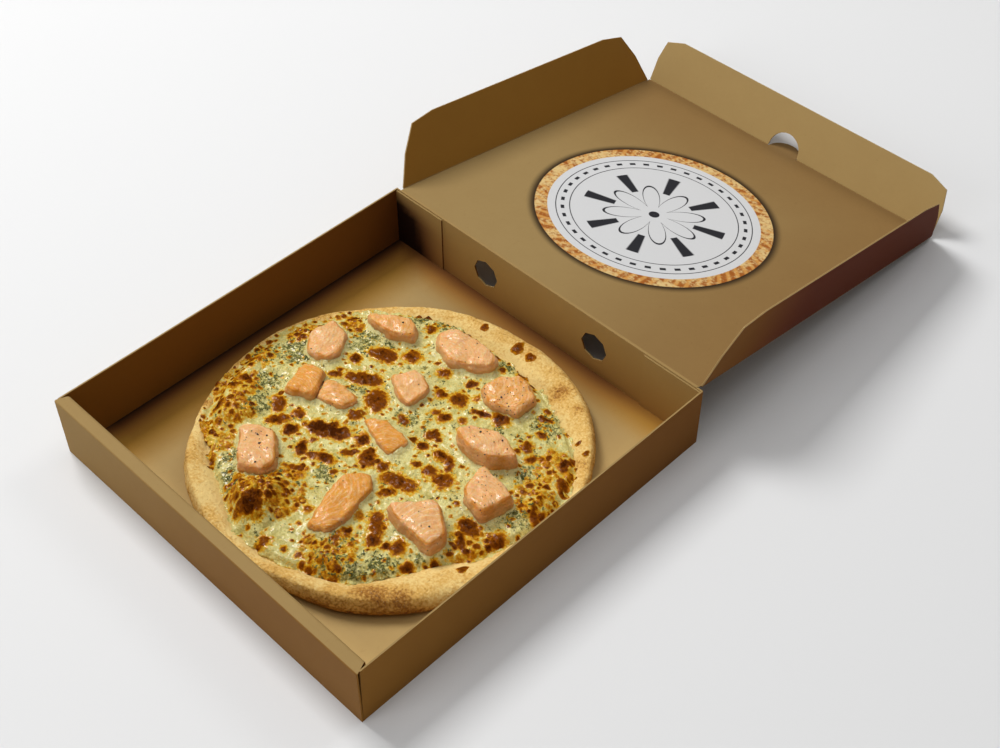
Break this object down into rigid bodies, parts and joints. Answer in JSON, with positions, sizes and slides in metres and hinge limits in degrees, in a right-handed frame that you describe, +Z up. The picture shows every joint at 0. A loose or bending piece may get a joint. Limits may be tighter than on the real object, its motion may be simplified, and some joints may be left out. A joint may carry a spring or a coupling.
{
  "type": "pizza in takeaway box",
  "caption": "Round salmon and spinach pizza in an open card takeaway box: tray with roll-over front, air holes, and a folded-back lid with tuck flaps and a thumb notch.",
  "frame": {"origin": "middle of the tray's underside, on the surface that the box stands on", "axes": "+Z up; +X along the lid's hinge, to the right seen from the front wall; +Y from the front wall to the back wall, where the lid is hinged"},
  "size_m": [0.3441, 0.663, 0.0972],
  "materials": {
    "card": "matt brown kraft card",
    "card_inside": "matt brown kraft card, printed on the inner face",
    "bread": "baked dough, floury and matt",
    "cheese": "melted cheese, browned in spots, slightly glossy",
    "fish": "baked salmon, moist"
  },
  "bodies": {
    "box": {"tray": "card", "crust": "bread", "cheese": "cheese", "salmon_01": "fish", "salmon_02": "fish", "salmon_03": "fish", "salmon_04": "fish", "salmon_05": "fish", "salmon_06": "fish", "salmon_07": "fish", "salmon_08": "fish", "salmon_09": "fish", "salmon_10": "fish", "salmon_11": "fish", "salmon_12": "fish", "salmon_13": "fish"},
    "lid_panel": {"lid": "card_inside"},
    "left_flap": {"side_flap_left": "card_inside"},
    "right_flap": {"side_flap_right": "card_inside"},
    "far_flap": {"front_flap": "card_inside"}
  },
  "joints": [
    {"name": "lid_hinge", "type": "hinge", "parent": "box", "child": "lid_panel", "pos_m": [0, 0.165, 0.0553], "axis": [1, 0, 0], "range_deg": [0, 189.31]},
    {"name": "left_fold", "type": "hinge", "parent": "lid_panel", "child": "left_flap", "pos_m": [-0.156, 0.165, 0.0553], "axis": [0, 0.9868, -0.1618], "range_deg": [0, 36]},
    {"name": "right_fold", "type": "hinge", "parent": "lid_panel", "child": "right_flap", "pos_m": [0.156, 0.165, 0.0553], "axis": [0, -0.9868, 0.1618], "range_deg": [0, 11.5]},
    {"name": "front_fold", "type": "hinge", "parent": "lid_panel", "child": "far_flap", "pos_m": [0, 0.47841, 0.0039], "axis": [1, 0, 0], "range_deg": [0, 21]}
  ],
  "couplings": [
    {"joint": "left_fold", "follows": "lid_hinge", "ratio": 0.18964},
    {"joint": "right_fold", "follows": "lid_hinge", "ratio": 0.06022},
    {"joint": "front_fold", "follows": "lid_hinge", "ratio": 0.1104}
  ]
}
